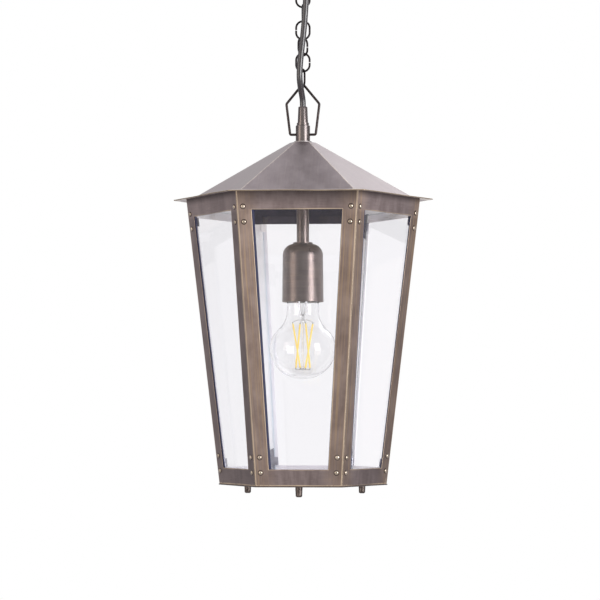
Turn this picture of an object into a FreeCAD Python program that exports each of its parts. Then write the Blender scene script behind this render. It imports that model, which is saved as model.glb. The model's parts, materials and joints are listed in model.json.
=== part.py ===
import FreeCAD, Part
import math
import os

# A six-sided brass lantern that hangs from a ceiling hook on a wire chain, with its flex alongside.
# Millimetres. The origin is on the ceiling under which it hangs, +Z is up, and the front faces -Y.

# Ceiling rose
rose_radius = 52.0
rose_flange = 15.0
rose_floor_radius = 24.0
rose_depth = 25.0
rose_sheet = 1.2
rose_screw_hole = 4.5
rose_screw_count = 3

# Ceiling hook with its nut and cover flange
hook_wire = 3.4
hook_bowl = 6.5
hook_drop = 25.9
hook_tip = 4.5
hook_neck = 4.0
hook_stub = 3.0
hook_bend = 4.0
hook_nut_flats = 8.0
hook_nut_height = 4.0
hook_flange_radius = 8.0
hook_flange_height = 3.0
hook_flange_bevel = 1.2

# Cable grommet in the rose
grommet_x = 5.0
grommet_y = -15.2
grommet_lip = 1.6
grommet_lip_height = 1.5
grommet_wall = 1.6

# Chain
link_wire = 2.0
link_width = 16.6
link_length = 21.7
link_gap = 0.9
chain_play = 0.2
link_turns = (0.0, 90.0, 180.0, 52.0, 0.0, 108.0)

# Bail
bail_wire = 2.5
bail_height = 53.3
bail_foot_half = 13.8
bail_shoulder_half = 17.8
bail_shoulder_rise = 33.3
bail_bend = 3.0
bail_foot_bend = 1.6
bail_end_play = 0.5

# Collar, washer and cord gland on the roof
collar_radius = 7.8
collar_height = 17.4
collar_pivot_rise = 7.5
collar_chamfer = 0.6
collar_step_radius = 6.6
collar_step_height = 2.7
washer_radius = 9.7
washer_thickness = 1.2
gland_foot_radius = 5.7
gland_top_radius = 5.0
gland_height = 17.6
gland_rim = 0.8
gland_spigot_radius = 4.6
gland_spigot_length = 4.0

# Cable
flex_diameter = 6.5
flex_tail = 4.0
flex_bend_share = 0.45

# Roof
roof_sheet = 1.2
roof_cap_radius = 14.0
roof_rise = 57.4
brim_seat = 9.5
brim_overhang = 13.5
brim_drop = 3.8

# Body
body_top_radius = 126.5
body_bottom_radius = 90.0
body_height = 306.8
body_sheet = 1.2
stile = 15.0
top_rail = 20.4
bottom_rail = 17.4
top_lip_margin = 1.2
bottom_lip = 15.0

# Corner brackets and rivets
bracket_sheet = 1.2
bracket_flange = 10.5
bracket_slope = 5.0
bracket_end = 4.0
bracket_foot = 2.5
tongue_reach = 4.0
tongue_margin = 3.5
rivet_inset = 6.3
rivet_radius = 2.3
rivet_height = 1.5
rivet_sides = 8
rivet_top_edge = 17.2
rivet_bottom_edge = 14.0
rivet_pitch = 16.0

# Glass panes
pane_thickness = 2.0
pane_play = 0.4
pane_cover_top = 9.0

# Base plate with its screws and foot nuts
base_sheet = 1.2
base_overhang = 0.6
foot_radius = 3.8
foot_waist = 3.4
foot_height = 10.4
foot_round = 1.0
foot_inset = 6.1
foot_count = 3
screw_radius = 1.5
screw_head_radius = 2.75
screw_head_height = 2.0
screw_thread = 7.0

# Stem and lampholder
stem_radius = 6.7
stem_length = 106.7
stem_spigot_radius = 5.0
stem_bore_radius = 3.7
stem_spigot_reach = 4.5
cup_radius = 21.7
cup_rim_radius = 22.3
cup_height = 64.2
cup_sheet = 1.2
cup_neck_radius = 10.6
cup_neck_height = 1.6
cup_dome = 13.5
insert_clearance = 1.8
insert_boss_radius = 8.0
insert_dome_gap = 2.0
insert_length = 38.0
socket_depth = 28.0

# Bulb
cap_radius = 13.2
cap_clearance = 0.4
cap_contact_radius = 4.0
cap_contact_height = 3.5
bulb_gap = 0.6
bulb_length = 91.0
bulb_radius = 36.0
bulb_widest = 58.7
bulb_neck_radius = 17.2
bulb_neck = 17.5
bulb_top = 5.0
bulb_wall = 0.9
filament_radius = 0.9
filament_top = 32.0
filament_length = 47.3
filament_top_circle = 11.1
filament_bottom_circle = 8.1
filament_start = 19.0
filament_twist = 54.0
filament_count = 4
mount_foot_radius = 6.5
mount_waist_radius = 2.4
mount_waist = 25.0
mount_rod_radius = 1.1
mount_tip = 2.5
lead_width = 0.6

# Clearances between fitted pieces
running_fit = 0.05
hole_fit = 0.1
cable_fit = 0.25
lead_gap = 0.2

# Angles of a regular hexagon
sides = 6
side_angle = 360.0 / sides
flat = math.cos(math.radians(side_angle / 2))


def vec(x, y, z):
    return FreeCAD.Vector(x, y, z)


def turned(shape, angle):
    """A copy turned about the vertical axis."""
    copy = shape.copy()
    copy.rotate(vec(0, 0, 0), vec(0, 0, 1), angle)
    return copy


def lifted(shape, x, y, z):
    copy = shape.copy()
    copy.translate(vec(x, y, z))
    return copy


def cylinder(radius, low, high, x=0.0, y=0.0):
    return Part.makeCylinder(radius, high - low, vec(x, y, low))


def face_of(points):
    return Part.Face(Part.makePolygon(points + points[:1]))


def revolved(profile):
    """A solid turned about the vertical axis from (radius, height) points."""
    return face_of([vec(r, 0, z) for r, z in profile]).revolve(vec(0, 0, 0), vec(0, 0, 1), 360)


def corners(radius, z, count):
    """The corners of a regular polygon, the first of them on the X axis."""
    steps = [math.radians(360.0 * k / count) for k in range(count)]
    return [vec(radius * math.cos(a), radius * math.sin(a), z) for a in steps]


def stacked(levels, count=sides):
    """A flat-sided solid through regular polygons, given as (corner radius, height) from the bottom up."""
    rings = [corners(r, z, count) for r, z in levels]
    faces = [face_of(rings[0][::-1]), face_of(rings[-1])]
    for low, high in zip(rings, rings[1:]):
        for k in range(count):
            following = (k + 1) % count
            faces.append(face_of([low[k], low[following], high[following], high[k]]))
    return Part.Solid(Part.Shell(faces))


def hex_prism(flats, low, high):
    return stacked([(flats / 2 / flat, low), (flats / 2 / flat, high)])


def folded_section(path, sheet):
    """The outline of a sheet of even thickness on the left of a bent line of (a, z) points."""
    lines = []
    for (a, z), (b, w) in zip(path, path[1:]):
        run = math.hypot(b - a, w - z)
        da, dz = (b - a) / run, (w - z) / run
        lines.append((a - dz * sheet, z + da * sheet, da, dz))
    inner = [lines[0][:2]]
    for (a, z, da, dz), (b, w, db, dw) in zip(lines, lines[1:]):
        t = ((b - a) * dw - (w - z) * db) / (da * dw - dz * db)
        inner.append((a + t * da, z + t * dz))
    da, dz = lines[-1][2:]
    inner.append((path[-1][0] - dz * sheet, path[-1][1] + da * sheet))
    return path + inner[::-1]


def rounded_route(points, radii):
    """Straight runs joined by tangent arcs, one radius for each inner point."""
    edges = []
    here = points[0]
    for before, corner, after, radius in zip(points, points[1:], points[2:], radii):
        back = (before - corner).normalize()
        ahead = (after - corner).normalize()
        half = (math.pi - back.getAngle(ahead)) / 2
        reach = radius * math.tan(half)
        middle = (back + ahead).normalize() * (radius / math.cos(half) - radius)
        start, end = corner + back * reach, corner + ahead * reach
        edges.append(Part.LineSegment(here, start).toShape())
        edges.append(Part.Arc(start, corner + middle, end).toShape())
        here = end
    edges.append(Part.LineSegment(here, points[-1]).toShape())
    return edges


def round_bar(edges, diameter):
    """A round bar along joined edges."""
    first = edges[0]
    along = first.tangentAt(first.FirstParameter)
    ring = Part.Wire(Part.makeCircle(diameter / 2, first.valueAt(first.FirstParameter), along))
    return Part.Wire(edges).makePipeShell([ring], True, False)


def rod_between(start, end, radius):
    return Part.makeCylinder(radius, (end - start).Length, start, end - start)


# Heights of the hanging pieces, from the ceiling down
rose_floor_z = -rose_depth
hook_z = rose_floor_z - hook_drop
link_reach = link_length - link_wire
link_pitch = link_reach - link_wire - chain_play
first_link_z = hook_z + hook_wire / 2 + chain_play + link_wire / 2
last_link_z = first_link_z - link_pitch * (len(link_turns) - 1) - link_reach
bail_top_z = last_link_z + link_wire / 2 + chain_play + bail_wire / 2
pivot_z = bail_top_z - bail_height
collar_z = pivot_z - collar_pivot_rise
collar_top_z = collar_z + collar_height + collar_step_height
gland_top_z = collar_top_z + gland_height
roof_z = collar_z - washer_thickness

# Roof and body
fold_radius = body_top_radius - brim_seat
brim_radius = body_top_radius + brim_overhang
fold_z = roof_z - roof_rise
brim_slope = brim_drop / (brim_seat + brim_overhang)
brim_z = fold_z - brim_drop
body_top_z = fold_z - brim_slope * brim_seat - roof_sheet
body_z = body_top_z - body_height
top_flat = body_top_radius * flat
bottom_flat = body_bottom_radius * flat
face_length = math.hypot(body_height, top_flat - bottom_flat)
face_lean = math.degrees(math.atan2(top_flat - bottom_flat, body_height))
base_z = body_z - base_sheet
foot_circle = bottom_flat - foot_inset

# Lamp
stem_top_z = roof_z - roof_sheet
cup_z = stem_top_z - stem_length
cup_inner_top_z = cup_z - cup_neck_height - cup_sheet
insert_top_z = cup_z - cup_neck_height - cup_dome - insert_dome_gap
insert_z = insert_top_z - insert_length
socket_radius = cap_radius + cap_clearance
bulb_z = insert_z - bulb_gap


def face_half(v):
    """Half the width of a side at a distance v up its slope."""
    return (body_bottom_radius + (body_top_radius - body_bottom_radius) * v / face_length) / 2


def on_front(shape):
    """Carries a shape drawn flat, with x across, y up the slope and z outwards, to the front side."""
    copy = shape.copy()
    spin = FreeCAD.Rotation(vec(1, 0, 0), 90 + face_lean)
    copy.Placement = FreeCAD.Placement(vec(0, -bottom_flat, body_z), spin).multiply(copy.Placement)
    return copy


def plate_on_front(points, outer, inner):
    """A flat plate on the front side, between two depths below its outer face."""
    face = face_of([vec(x, y, -outer) for x, y in points])
    return on_front(face.extrude(vec(0, 0, outer - inner)))


def front_wedge():
    """The sixth of the space that belongs to the front side, up to the mitres."""
    reach = brim_radius * 2
    half = reach * math.tan(math.radians(side_angle / 2))
    points = [vec(0, 0, base_z), vec(-half, -reach, base_z), vec(half, -reach, base_z)]
    return face_of(points).extrude(vec(0, 0, roof_z - base_z))


wedge = front_wedge()


def ceiling_rose():
    path = [
        (0, rose_floor_z),
        (rose_floor_radius, rose_floor_z),
        (rose_radius - rose_flange, -rose_sheet),
        (rose_radius, -rose_sheet),
    ]
    rose = revolved(folded_section(path, rose_sheet))
    rose = rose.cut(cylinder(hook_wire / 2 + running_fit, rose_floor_z, 0))
    grommet_hole = flex_diameter / 2 + hole_fit + grommet_wall
    rose = rose.cut(cylinder(grommet_hole, rose_floor_z, 0, grommet_x, grommet_y))
    screw_circle = rose_radius - rose_flange / 2
    hole = cylinder(rose_screw_hole / 2, rose_floor_z, 0, 0, screw_circle)
    for k in range(rose_screw_count):
        rose = rose.cut(turned(hole, 360.0 * k / rose_screw_count))
    return rose


def ceiling_hook():
    bowl_z = hook_z + hook_bowl
    points = [
        vec(0, 0, rose_floor_z + rose_sheet + hook_nut_height + hook_stub),
        vec(0, 0, rose_floor_z - hook_flange_height - hook_neck),
        vec(0, hook_bowl, bowl_z + hook_tip),
        vec(0, hook_bowl, bowl_z),
    ]
    neck = rounded_route(points, [hook_bend / 2, hook_bend])
    bowl = Part.Arc(points[-1], vec(0, 0, hook_z), vec(0, -hook_bowl, bowl_z)).toShape()
    tip = Part.LineSegment(vec(0, -hook_bowl, bowl_z), vec(0, -hook_bowl, bowl_z + hook_tip)).toShape()
    return round_bar(neck + [bowl, tip], hook_wire)


def hook_nut():
    low = rose_floor_z + rose_sheet
    nut = hex_prism(hook_nut_flats, low, low + hook_nut_height)
    return nut.cut(cylinder(hook_wire / 2 + running_fit, low, low + hook_nut_height))


def hook_flange():
    bore = hook_wire / 2 + running_fit
    low = rose_floor_z - hook_flange_height
    edge = hook_flange_radius - hook_flange_bevel
    profile = [(bore, low), (edge, low), (hook_flange_radius, low + hook_flange_bevel)]
    return revolved(profile + [(hook_flange_radius, rose_floor_z), (bore, rose_floor_z)])


def rose_grommet():
    bore = flex_diameter / 2 + hole_fit
    neck = bore + grommet_wall - hole_fit
    lip = bore + grommet_wall + grommet_lip
    floor_top = rose_floor_z + rose_sheet
    profile = [
        (bore, rose_floor_z - grommet_lip_height),
        (lip, rose_floor_z - grommet_lip_height),
        (lip, rose_floor_z),
        (neck, rose_floor_z),
        (neck, floor_top),
        (lip, floor_top),
        (lip, floor_top + grommet_lip_height),
        (bore, floor_top + grommet_lip_height),
    ]
    return lifted(revolved(profile), grommet_x, grommet_y, 0)


def chain_link():
    """An oval of bent wire about the origin, upright, open by a narrow gap in one side."""
    half = (link_width - link_wire) / 2
    rise = (link_length - link_width) / 2
    edges = [
        Part.LineSegment(vec(half, 0, link_gap / 2), vec(half, 0, rise)).toShape(),
        Part.Arc(vec(half, 0, rise), vec(0, 0, rise + half), vec(-half, 0, rise)).toShape(),
        Part.LineSegment(vec(-half, 0, rise), vec(-half, 0, -rise)).toShape(),
        Part.Arc(vec(-half, 0, -rise), vec(0, 0, -rise - half), vec(half, 0, -rise)).toShape(),
        Part.LineSegment(vec(half, 0, -rise), vec(half, 0, -link_gap / 2)).toShape(),
    ]
    return round_bar(edges, link_wire)


def bail():
    """A wire loop with straight legs, bent to a point at the top and turned in at its feet."""
    eye_z = bail_height - bail_bend - bail_shoulder_rise
    lean = math.atan2(eye_z, bail_shoulder_half)
    lean += math.asin(bail_bend / math.hypot(eye_z, bail_shoulder_half))
    peak = bail_shoulder_rise + bail_shoulder_half * math.tan(lean)
    end = flex_diameter / 2 + cable_fit + bail_end_play
    right = [(bail_shoulder_half, bail_shoulder_rise), (bail_foot_half, 0), (end, 0)]
    outline = [(-x, z) for x, z in right[::-1]] + [(0, peak)] + right
    points = [vec(x, 0, pivot_z + z) for x, z in outline]
    radii = [bail_foot_bend, bail_bend, bail_bend, bail_bend, bail_foot_bend]
    return round_bar(rounded_route(points, radii), bail_wire)


def collar():
    bore = flex_diameter / 2 + cable_fit
    seat = stem_spigot_radius + running_fit
    socket = gland_spigot_radius + running_fit
    shoulder = collar_z + collar_height
    profile = [
        (seat, collar_z),
        (collar_radius, collar_z),
        (collar_radius, shoulder - collar_chamfer),
        (collar_radius - collar_chamfer, shoulder),
        (collar_step_radius, shoulder),
        (collar_step_radius, collar_top_z),
        (socket, collar_top_z),
        (socket, collar_top_z - gland_spigot_length - hole_fit),
        (bore, collar_top_z - gland_spigot_length - hole_fit),
        (bore, collar_z + stem_spigot_reach + hole_fit),
        (seat, collar_z + stem_spigot_reach + hole_fit),
    ]
    hole = rod_between(
        vec(-collar_radius, 0, pivot_z), vec(collar_radius, 0, pivot_z), bail_wire / 2 + running_fit
    )
    return revolved(profile).cut(hole)


def roof_washer():
    ring = cylinder(washer_radius, roof_z, collar_z)
    return ring.cut(cylinder(stem_spigot_radius + hole_fit, roof_z, collar_z))


def cord_gland():
    bore = flex_diameter / 2 + cable_fit
    low = collar_top_z - gland_spigot_length
    return revolved(
        [
            (bore, low),
            (gland_spigot_radius, low),
            (gland_spigot_radius, collar_top_z),
            (gland_foot_radius, collar_top_z),
            (gland_top_radius, gland_top_z - gland_rim),
            (gland_top_radius - gland_rim / 2, gland_top_z),
            (bore, gland_top_z),
        ]
    )


# The cable's route from the gland up to the rose, as steps from the middle of the gland's top
flex_steps = [
    (0.0, 0.0, 0.0),
    (0.0, 0.0, 6.0),
    (-0.9, -3.6, 13.0),
    (-2.2, -10.2, 21.5),
    (-3.0, -14.6, 32.0),
    (-1.8, -15.2, 50.0),
    (0.4, -14.4, 68.0),
    (2.4, -13.9, 88.0),
    (3.8, -14.2, 108.0),
    (4.8, -15.0, 126.0),
]


def flex():
    points = [vec(x, y, gland_top_z + z) for x, y, z in flex_steps]
    top = rose_floor_z + rose_sheet + grommet_lip_height + flex_tail
    points.append(vec(grommet_x, grommet_y, rose_floor_z - grommet_lip_height - flex_tail))
    points.append(vec(grommet_x, grommet_y, top))
    radii = []
    for before, corner, after in zip(points, points[1:], points[2:]):
        turn = (corner - before).getAngle(after - corner)
        run = min((corner - before).Length, (after - corner).Length)
        radii.append(flex_bend_share * run / math.tan(turn / 2))
    edges = rounded_route(points, radii)
    tube = round_bar(edges, flex_diameter)
    length = sum(e.Length for e in edges)
    print("flex radii", [round(r, 1) for r in radii], "length", round(length, 1))
    print("flex volume share", round(tube.Volume / (math.pi * flex_diameter**2 / 4 * length), 4))
    return tube


def inner_flex():
    return cylinder(flex_diameter / 2, cup_z - stem_spigot_reach, gland_top_z)


def roof():
    """One sheet folded along six ridges, with a shallow brim."""
    levels = [(brim_radius, brim_z), (fold_radius, fold_z), (roof_cap_radius, roof_z)]
    outer = stacked([(brim_radius, brim_z - roof_sheet)] + levels)
    sheet = outer.cut(lifted(stacked(levels), 0, 0, -roof_sheet))
    return sheet.cut(cylinder(stem_spigot_radius + hole_fit, fold_z, roof_z))


def side_frame():
    """The front side: a sheet folded in at the top and bottom, with a window cut in it."""
    top_lip = brim_seat * flat - top_lip_margin
    path = [
        (bottom_flat - bottom_lip, body_z),
        (bottom_flat, body_z),
        (top_flat, body_top_z),
        (top_flat - top_lip, body_top_z + top_lip * brim_slope / flat),
    ]
    section = [vec(-brim_radius, -a, z) for a, z in folded_section(path, body_sheet)]
    sheet = face_of(section).extrude(vec(2 * brim_radius, 0, 0)).common(wedge)
    low, high = bottom_rail, face_length - top_rail
    left, right = face_half(low) - stile, face_half(high) - stile
    window = [(-left, low), (left, low), (right, high), (-right, high)]
    return sheet.cut(plate_on_front(window, -body_sheet, 2 * body_sheet))


def screw_hole(frame):
    hole = cylinder(screw_radius + hole_fit, base_z, body_z + 2 * body_sheet, 0, -foot_circle)
    return frame.cut(hole)


def pane():
    """A pane on the inner face of the front side, standing on the bottom lip."""
    high = face_length - top_rail + pane_cover_top
    edge = bracket_flange + pane_play
    left, right = face_half(0) - edge, face_half(high) - edge
    glass = plate_on_front(
        [(-left, 0), (left, 0), (right, high), (-right, high)], body_sheet, body_sheet + pane_thickness
    )
    floor = Part.makeBox(2 * brim_radius, brim_radius, body_sheet, vec(-brim_radius, -brim_radius, body_z))
    return glass.cut(floor)


def half_bracket(low, high, slope_low, slope_high, rivets):
    """The flange of a corner bracket at the front side's right end, with a stepped tongue over the pane."""
    inner = body_sheet + bracket_sheet
    beyond = 2 * bracket_flange
    corner = [
        (face_half(low) - bracket_flange, low),
        (face_half(low) + beyond, low + slope_low * (1 + beyond / bracket_flange)),
        (face_half(high) + beyond, high - slope_high * (1 + beyond / bracket_flange)),
        (face_half(high) - bracket_flange, high),
    ]
    flange = plate_on_front(corner, body_sheet, inner)
    tongue_low, tongue_high = rivets[0] + tongue_margin, rivets[1] - tongue_margin
    tongue_depth = body_sheet + pane_thickness + pane_play

    def strip(near, far, outer, depth):
        points = [
            (face_half(tongue_low) - far, tongue_low),
            (face_half(tongue_low) - near, tongue_low),
            (face_half(tongue_high) - near, tongue_high),
            (face_half(tongue_high) - far, tongue_high),
        ]
        return plate_on_front(points, outer, depth)

    root = bracket_flange - bracket_sheet
    step = strip(root, bracket_flange, body_sheet, tongue_depth + bracket_sheet)
    tongue = strip(root, bracket_flange + tongue_reach, tongue_depth, tongue_depth + bracket_sheet)
    return flange.fuse([step, tongue]).common(wedge)


def corner_bracket(half):
    """Both flanges of the bracket at the front side's right corner."""
    other = turned(half.mirror(vec(0, 0, 0), vec(1, 0, 0)), side_angle)
    return half.fuse(other).removeSplitter()


bottom_rivets = (rivet_bottom_edge, rivet_bottom_edge + rivet_pitch)
top_rivets = (face_length - rivet_top_edge - rivet_pitch, face_length - rivet_top_edge)


def bottom_bracket():
    high = bottom_rivets[1] + bracket_end + bracket_slope / 2
    return corner_bracket(half_bracket(bracket_foot, high, 0.0, bracket_slope, bottom_rivets))


def top_bracket():
    low = top_rivets[0] - bracket_end - bracket_slope / 2
    high = face_length - top_rail / 2
    return corner_bracket(half_bracket(low, high, bracket_slope, 0.0, top_rivets))


def rivets(heights):
    """Domed heads in pairs at both ends of every side, as separate solids."""
    brow = rivet_radius * math.cos(math.radians(45))
    levels = [
        (rivet_radius, 0),
        (brow, rivet_height * math.sin(math.radians(45))),
        (brow / 2, rivet_height),
    ]
    head = stacked(levels, rivet_sides)
    heads = []
    for v in heights:
        for end in (-1, 1):
            one = on_front(lifted(head, end * (face_half(v) - rivet_inset), v, 0))
            heads += [turned(one, side_angle * k) for k in range(sides)]
    return Part.makeCompound(heads)


def round_the_feet(shape):
    return [turned(shape, 360.0 * k / foot_count) for k in range(foot_count)]


def base_plate():
    radius = body_bottom_radius + base_overhang
    plate = stacked([(radius, base_z), (radius, body_z)])
    return plate.cut(round_the_feet(cylinder(screw_radius + hole_fit, base_z, body_z, 0, -foot_circle)))


def foot_nuts():
    low = base_z - foot_height
    bore = screw_radius + running_fit
    blind = base_z - screw_thread - hole_fit
    nut = revolved(
        [
            (0, low),
            (foot_waist - foot_round, low),
            (foot_waist, low + foot_round),
            (foot_radius, base_z - foot_round),
            (foot_radius, base_z),
            (bore, base_z),
            (bore, blind),
            (0, blind),
        ]
    )
    return Part.makeCompound(round_the_feet(lifted(nut, 0, -foot_circle, 0)))


def base_screws():
    seat = body_z + body_sheet
    screw = revolved(
        [
            (0, base_z - screw_thread),
            (screw_radius, base_z - screw_thread),
            (screw_radius, seat),
            (screw_head_radius, seat),
            (screw_head_radius, seat + screw_head_height / 2),
            (screw_radius, seat + screw_head_height),
            (0, seat + screw_head_height),
        ]
    )
    return Part.makeCompound(round_the_feet(lifted(screw, 0, -foot_circle, 0)))


def stem():
    spigot_top = collar_z + stem_spigot_reach
    spigot_end = cup_z - cup_neck_height - cup_sheet - stem_spigot_reach
    return revolved(
        [
            (stem_bore_radius, spigot_end),
            (stem_spigot_radius, spigot_end),
            (stem_spigot_radius, cup_z),
            (stem_radius, cup_z),
            (stem_radius, stem_top_z),
            (stem_spigot_radius, stem_top_z),
            (stem_spigot_radius, spigot_top),
            (stem_bore_radius, spigot_top),
        ]
    )


def quarter_arc(inner, outer, high, low):
    """An arc that leaves level at (inner, high) and ends upright at (outer, low)."""
    share = math.sin(math.radians(45))
    middle = vec(inner + (outer - inner) * share, 0, low + (high - low) * share)
    return Part.Arc(vec(inner, 0, high), middle, vec(outer, 0, low)).toShape()


def turned_outline(edges):
    return Part.Face(Part.Wire(edges)).revolve(vec(0, 0, 0), vec(0, 0, 1), 360)


def line(a, b):
    return Part.LineSegment(vec(a[0], 0, a[1]), vec(b[0], 0, b[1])).toShape()


def lampholder_cup():
    """A spun cup with a domed top, a small neck and a wall that opens slightly to its rim."""
    bore = stem_spigot_radius + hole_fit
    dome_z = cup_z - cup_neck_height
    wall_z = dome_z - cup_dome
    rim_z = cup_z - cup_height
    return turned_outline(
        [
            line((bore, cup_inner_top_z), (bore, cup_z)),
            line((bore, cup_z), (cup_neck_radius, cup_z)),
            line((cup_neck_radius, cup_z), (cup_neck_radius, dome_z)),
            quarter_arc(cup_neck_radius, cup_radius, dome_z, wall_z),
            line((cup_radius, wall_z), (cup_rim_radius, rim_z)),
            line((cup_rim_radius, rim_z), (cup_rim_radius - cup_sheet, rim_z)),
            line((cup_rim_radius - cup_sheet, rim_z), (cup_radius - cup_sheet, wall_z)),
            quarter_arc(cup_neck_radius, cup_radius - cup_sheet, cup_inner_top_z, wall_z),
            line((cup_neck_radius, cup_inner_top_z), (bore, cup_inner_top_z)),
        ]
    )


def lampholder_insert():
    """The socket: a boss against the cup's top, and a body with a bore for the bulb's cap."""
    body_radius = cup_radius - cup_sheet - insert_clearance
    seat = stem_spigot_radius + running_fit
    spigot_end = cup_inner_top_z - stem_spigot_reach - hole_fit
    socket_top = insert_z + socket_depth
    return revolved(
        [
            (socket_radius, insert_z),
            (body_radius, insert_z),
            (body_radius, insert_top_z),
            (insert_boss_radius, insert_top_z),
            (insert_boss_radius, cup_inner_top_z),
            (seat, cup_inner_top_z),
            (seat, spigot_end),
            (0, spigot_end),
            (0, socket_top),
            (socket_radius, socket_top),
        ]
    )


def double_bend(high, low):
    """Two equal arcs from one upright line down and out to another, between (radius, height) places."""
    half_turn = math.atan2(low[0] - high[0], high[1] - low[1])
    radius = (high[1] - low[1]) / 2 / math.sin(2 * half_turn)
    step = vec(radius * (1 - math.cos(half_turn)), 0, -radius * math.sin(half_turn))
    start, end = vec(high[0], 0, high[1]), vec(low[0], 0, low[1])
    middle = (start + end) * 0.5
    return [Part.Arc(start, start + step, middle).toShape(), Part.Arc(middle, end - step, end).toShape()]


def bulb_outline(wall):
    """The bulb's outline from its open top down to its lowest point, set in by a wall."""
    neck = bulb_neck_radius - wall
    belly = bulb_radius - wall
    low = bulb_z - bulb_length + wall
    return [
        line((cap_radius - wall, bulb_z), (neck, bulb_z - bulb_top)),
        line((neck, bulb_z - bulb_top), (neck, bulb_z - bulb_neck)),
        *double_bend((neck, bulb_z - bulb_neck), (belly, bulb_z - bulb_widest)),
        quarter_arc(0, belly, low, bulb_z - bulb_widest),
    ]


def bulb_glass():
    low = bulb_z - bulb_length
    tip = line((0, low), (0, low + bulb_wall))
    rim = line((cap_radius - bulb_wall, bulb_z), (cap_radius, bulb_z))
    return turned_outline(bulb_outline(0.0) + [tip] + bulb_outline(bulb_wall)[::-1] + [rim])


def bulb_cap():
    socket_top = insert_z + socket_depth
    shoulder = socket_top - cap_contact_height
    return revolved(
        [
            (0, bulb_z),
            (cap_radius, bulb_z),
            (cap_radius, shoulder - cap_contact_height),
            (cap_contact_radius, shoulder),
            (cap_contact_radius, socket_top),
            (0, socket_top),
        ]
    )


def filament_ends():
    """The top and bottom of each filament stick, round the bulb's axis."""
    high = bulb_z - filament_top
    ends = []
    for k in range(filament_count):
        a = math.radians(filament_start + 360.0 * k / filament_count)
        b = a + math.radians(filament_twist)
        top = vec(filament_top_circle * math.cos(a), filament_top_circle * math.sin(a), high)
        foot = vec(
            filament_bottom_circle * math.cos(b), filament_bottom_circle * math.sin(b), high - filament_length
        )
        ends.append((top, foot))
    return ends


def bulb_filaments():
    return Part.makeCompound([rod_between(foot, top, filament_radius) for top, foot in filament_ends()])


def lead(start, end):
    """A square lead wire from the mount, ending just short of a filament."""
    along = end - start
    short = along.Length - filament_radius - lead_gap
    bar = Part.makeBox(lead_width, lead_width, short, vec(-lead_width / 2, -lead_width / 2, 0))
    bar.Placement = FreeCAD.Placement(start, FreeCAD.Rotation(vec(0, 0, 1), along))
    return bar


def bulb_mount():
    """The glass foot and rod on the bulb's axis, with the lead wires to the filaments."""
    low = bulb_z - filament_top - filament_length - mount_tip
    waist = bulb_z - mount_waist
    body = revolved(
        [
            (0, low),
            (mount_rod_radius, low),
            (mount_rod_radius, waist),
            (mount_waist_radius, waist),
            (mount_foot_radius, bulb_z),
            (0, bulb_z),
        ]
    )
    leads = []
    for top, foot in filament_ends():
        leads.append(lead(vec(0, 0, waist), top))
        leads.append(lead(vec(0, 0, low + lead_width), foot))
    return body.fuse(leads)


def export(name, shape):
    shape.exportStep(os.path.join("parts", name + ".step"))


def export_round(name, shape):
    """Six numbered copies round the axis, the first at the front."""
    for k in range(sides):
        export(f"{name}_{k + 1}", turned(shape, side_angle * k))


def export_frames():
    """Every second frame carries a foot."""
    plain = side_frame()
    holed = screw_hole(plain)
    for k in range(sides):
        footed = k * foot_count % sides == 0
        export(f"side_frame_{k + 1}", turned(holed if footed else plain, side_angle * k))


def export_chain():
    link = chain_link()
    for k, turn in enumerate(link_turns):
        middle = first_link_z - link_pitch * k - link_reach / 2
        export(f"chain_link_{k + 1}", lifted(turned(link, turn), 0, 0, middle))


os.makedirs("parts", exist_ok=True)
export("ceiling_rose", ceiling_rose())
export("ceiling_hook", ceiling_hook())
export("hook_nut", hook_nut())
export("hook_flange", hook_flange())
export("rose_grommet", rose_grommet())
export_chain()
export("bail", bail())
export("collar", collar())
export("roof_washer", roof_washer())
export("cord_gland", cord_gland())
export("flex", flex())
export("inner_flex", inner_flex())
export("roof", roof())
export_frames()
export_round("pane", pane())
export_round("top_bracket", top_bracket())
export_round("bottom_bracket", bottom_bracket())
export("frame_rivets_top", rivets(top_rivets))
export("frame_rivets_bottom", rivets(bottom_rivets))
export("base_plate", base_plate())
export("base_screws", base_screws())
export("foot_nuts", foot_nuts())
export("stem", stem())
export("lampholder_cup", lampholder_cup())
export("lampholder_insert", lampholder_insert())
export("bulb_glass", bulb_glass())
export("bulb_cap", bulb_cap())
export("bulb_filaments", bulb_filaments())
export("bulb_mount", bulb_mount())
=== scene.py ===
import json
import math

import bmesh
import bpy
from mathutils import Matrix, Vector, noise

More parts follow.
